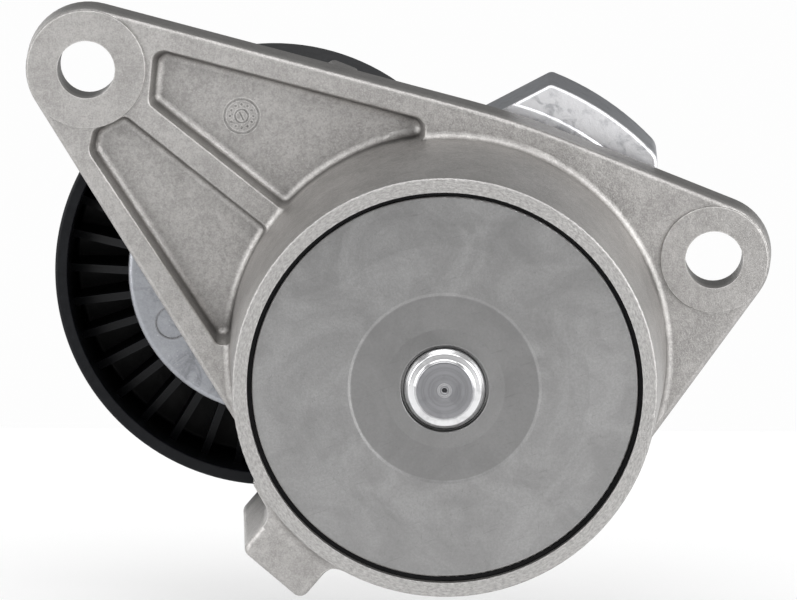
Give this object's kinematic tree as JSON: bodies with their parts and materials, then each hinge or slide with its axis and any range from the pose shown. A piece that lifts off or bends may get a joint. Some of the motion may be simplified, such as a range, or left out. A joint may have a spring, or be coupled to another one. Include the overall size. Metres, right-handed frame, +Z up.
{
  "type": "belt tensioner",
  "caption": "Spring-loaded belt tensioner: cast two-bolt housing with a round spring case, a pivoting arm and a smooth idler pulley on a ball bearing.",
  "frame": {"origin": "on the arm's pivot axis, in the plane of the two mounting pads that seat on the engine", "axes": "+Y along the pivot, away from the engine and towards the belt; +X across the two ears towards the smaller one; +Z up with the pulley above and beside the spring case as stored"},
  "size_m": [0.1429, 0.0883, 0.1102],
  "materials": {
    "housing_cast": "blasted die cast, matt",
    "arm_cast": "as die cast, satin",
    "bush_bronze": "satin",
    "friction_polymer": "matt",
    "spring_steel": "shot-peened and phosphated",
    "plate_steel": "rolled sheet, satin",
    "pin_steel": "turned and ground",
    "washer_polymer": "satin",
    "seal_rubber": "matt",
    "zinc_steel": "zinc plated",
    "bearing_steel": "ground",
    "cage_steel": "pressed",
    "bolt_steel": "zinc plated",
    "pulley_polymer": "moulded, satin gloss"
  },
  "bodies": {
    "housing": {"housing": "housing_cast", "rear_bush": "bush_bronze", "front_bush": "bush_bronze", "friction_ring": "friction_polymer", "torsion_spring": "spring_steel"},
    "arm": {"tensioner_arm": "arm_cast", "pivot_pin": "pin_steel", "end_plate": "plate_steel", "thrust_washer": "washer_polymer", "dust_seal": "seal_rubber", "rear_slinger": "zinc_steel", "bearing_inner_ring": "bearing_steel", "front_washer": "zinc_steel", "pulley_bolt": "bolt_steel"},
    "pulley": {"idler_pulley": "pulley_polymer", "bearing_outer_ring": "bearing_steel", "rear_seal": "seal_rubber", "front_seal": "seal_rubber"},
    "cage": {"bearing_balls": "bearing_steel", "rear_cage_half": "cage_steel", "front_cage_half": "cage_steel", "cage_rivets": "cage_steel"}
  },
  "joints": [
    {"name": "arm_pivot", "type": "hinge", "parent": "housing", "child": "arm", "pos_m": [0, 0, 0], "axis": [0, -1, 0], "range_deg": [0, 40], "stiffness_Nm_per_rad": 16.8, "springref_deg": -39.99, "deforming": ["torsion_spring"]},
    {"name": "pulley_spin", "type": "hinge", "parent": "arm", "child": "pulley", "pos_m": [-0.03477, 0.033, 0.01225], "axis": [0, 1, 0], "continuous": true},
    {"name": "cage_spin", "type": "hinge", "parent": "arm", "child": "cage", "pos_m": [-0.03477, 0.033, 0.01225], "axis": [0, 1, 0], "continuous": true}
  ],
  "couplings": [
    {"joint": "cage_spin", "follows": "pulley_spin", "ratio": 0.6184}
  ]
}
